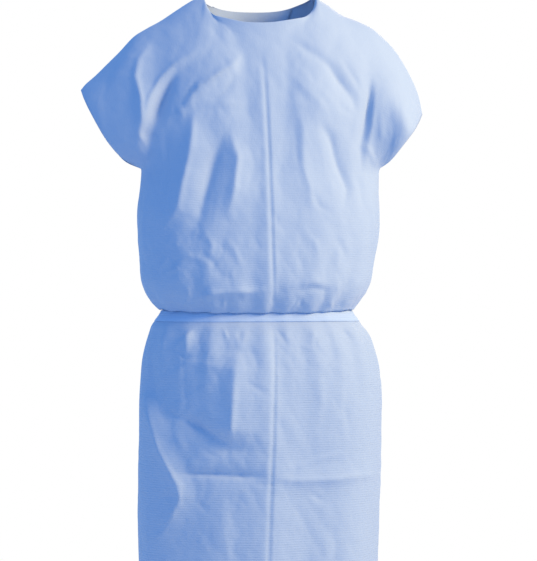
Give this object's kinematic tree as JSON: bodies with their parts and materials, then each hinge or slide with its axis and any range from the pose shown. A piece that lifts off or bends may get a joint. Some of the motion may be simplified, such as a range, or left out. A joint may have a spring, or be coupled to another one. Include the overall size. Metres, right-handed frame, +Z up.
{
  "type": "exam gown",
  "caption": "Disposable exam gown in embossed tissue laminate, worn: cap sleeves, gathered at the waist by a belt, open down the back.",
  "frame": {"origin": "midway between the two points where the shoulder seams meet the neck edge, where the wearer's shoulders carry the gown", "axes": "+Z up, the front faces -Y, +X to the viewer's right and so to the wearer's left"},
  "size_m": [0.603, 0.306, 1.067],
  "materials": {
    "cloth": "matt embossed tissue laminate"
  },
  "bodies": {
    "root": {"front": "cloth", "back_left": "cloth", "back_right": "cloth", "belt": "cloth"}
  },
  "joints": []
}
